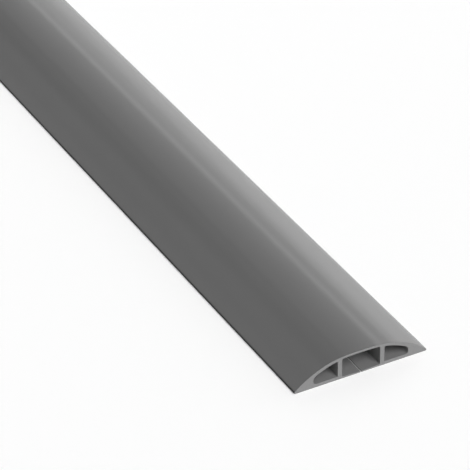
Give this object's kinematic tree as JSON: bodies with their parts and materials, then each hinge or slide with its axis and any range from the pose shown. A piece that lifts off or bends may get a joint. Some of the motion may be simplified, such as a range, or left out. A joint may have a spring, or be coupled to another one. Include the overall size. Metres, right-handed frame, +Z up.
{
  "type": "floor cord cover",
  "caption": "Low arched flexible floor cover that shields cords: central channel with a slit floor, a hollow on each side of it and ramped wedge edges.",
  "frame": {"origin": "on the floor, under the middle of the strip, halfway along it and midway between its two edges", "axes": "+Y along the strip, +X across its width, +Z up from the floor through the crown"},
  "size_m": [0.0636, 0.9144, 0.0113],
  "materials": {
    "grey_pvc": "satin"
  },
  "bodies": {
    "root": {"cord_cover_extrusion": "grey_pvc"}
  },
  "joints": []
}
